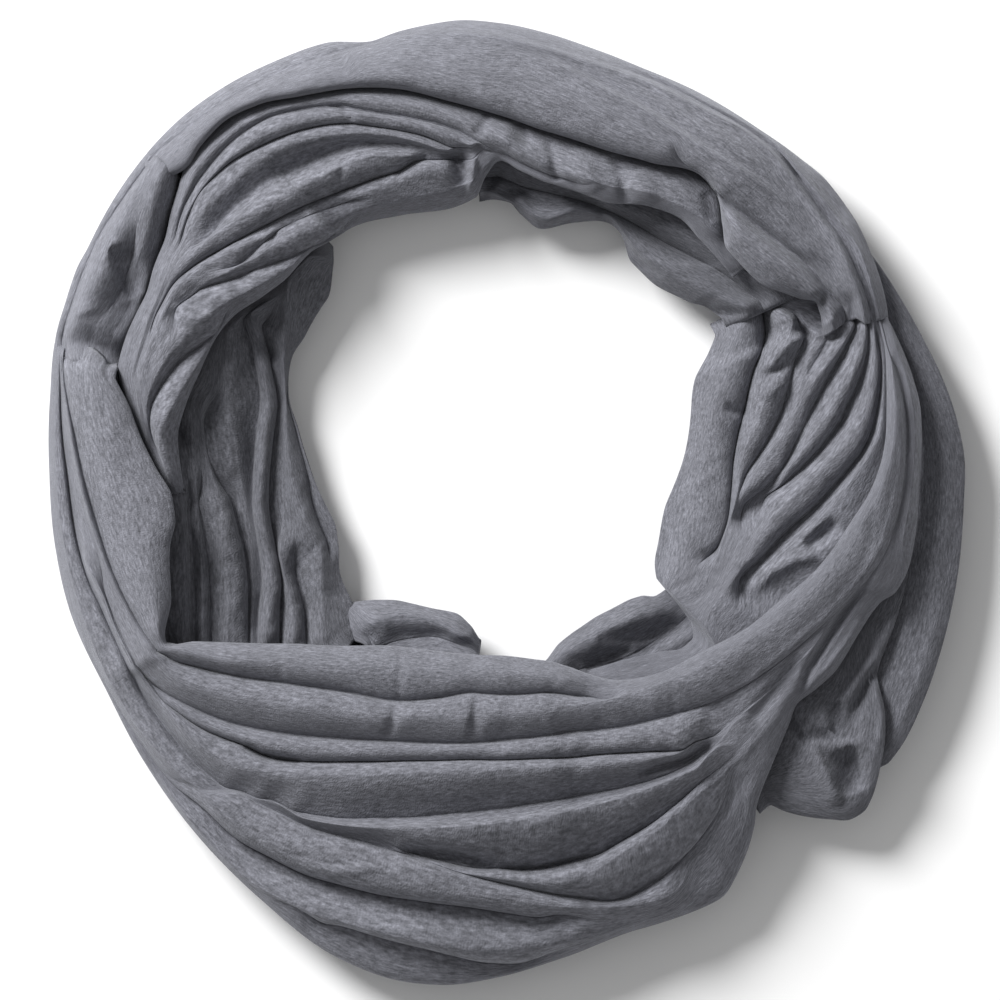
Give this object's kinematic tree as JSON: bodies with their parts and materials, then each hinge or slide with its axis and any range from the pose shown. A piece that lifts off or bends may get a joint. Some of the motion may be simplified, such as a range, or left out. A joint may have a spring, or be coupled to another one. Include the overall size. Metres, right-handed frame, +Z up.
{
  "type": "infinity scarf",
  "caption": "Loop scarf of fine heather jersey, wound into a soft ring and laid flat, with loose folds and an open middle.",
  "frame": {"origin": "centre of the ring's box, on the surface that it lies on", "axes": "+Z up from that surface, +Y towards the top of the ring as worn flat, its longest side, +X to the right seen from above"},
  "size_m": [0.3782, 0.3981, 0.0556],
  "materials": {
    "jersey_hidden_layers": "matt, fine knit, heather",
    "jersey_front_sweep": "matt, fine knit, heather",
    "jersey_top_band": "matt, fine knit, heather",
    "jersey_left_pouch": "matt, fine knit, heather",
    "jersey_inner_arc": "matt, fine knit, heather",
    "jersey_left_inner": "matt, fine knit, heather",
    "jersey_right_inner": "matt, fine knit, heather",
    "jersey_top_inner": "matt, fine knit, heather",
    "jersey_right_outer": "matt, fine knit, heather",
    "jersey_right_fan": "matt, fine knit, heather",
    "jersey_bottom_left_lobe": "matt, fine knit, heather",
    "jersey_bottom_right_lobe": "matt, fine knit, heather"
  },
  "bodies": {
    "root": {"hidden_layers": "jersey_hidden_layers", "front_sweep": "jersey_front_sweep", "top_band": "jersey_top_band", "left_pouch": "jersey_left_pouch", "inner_arc": "jersey_inner_arc", "left_inner": "jersey_left_inner", "right_inner": "jersey_right_inner", "top_inner": "jersey_top_inner", "right_outer": "jersey_right_outer", "right_fan": "jersey_right_fan", "bottom_left_lobe": "jersey_bottom_left_lobe", "bottom_right_lobe": "jersey_bottom_right_lobe"}
  },
  "joints": []
}
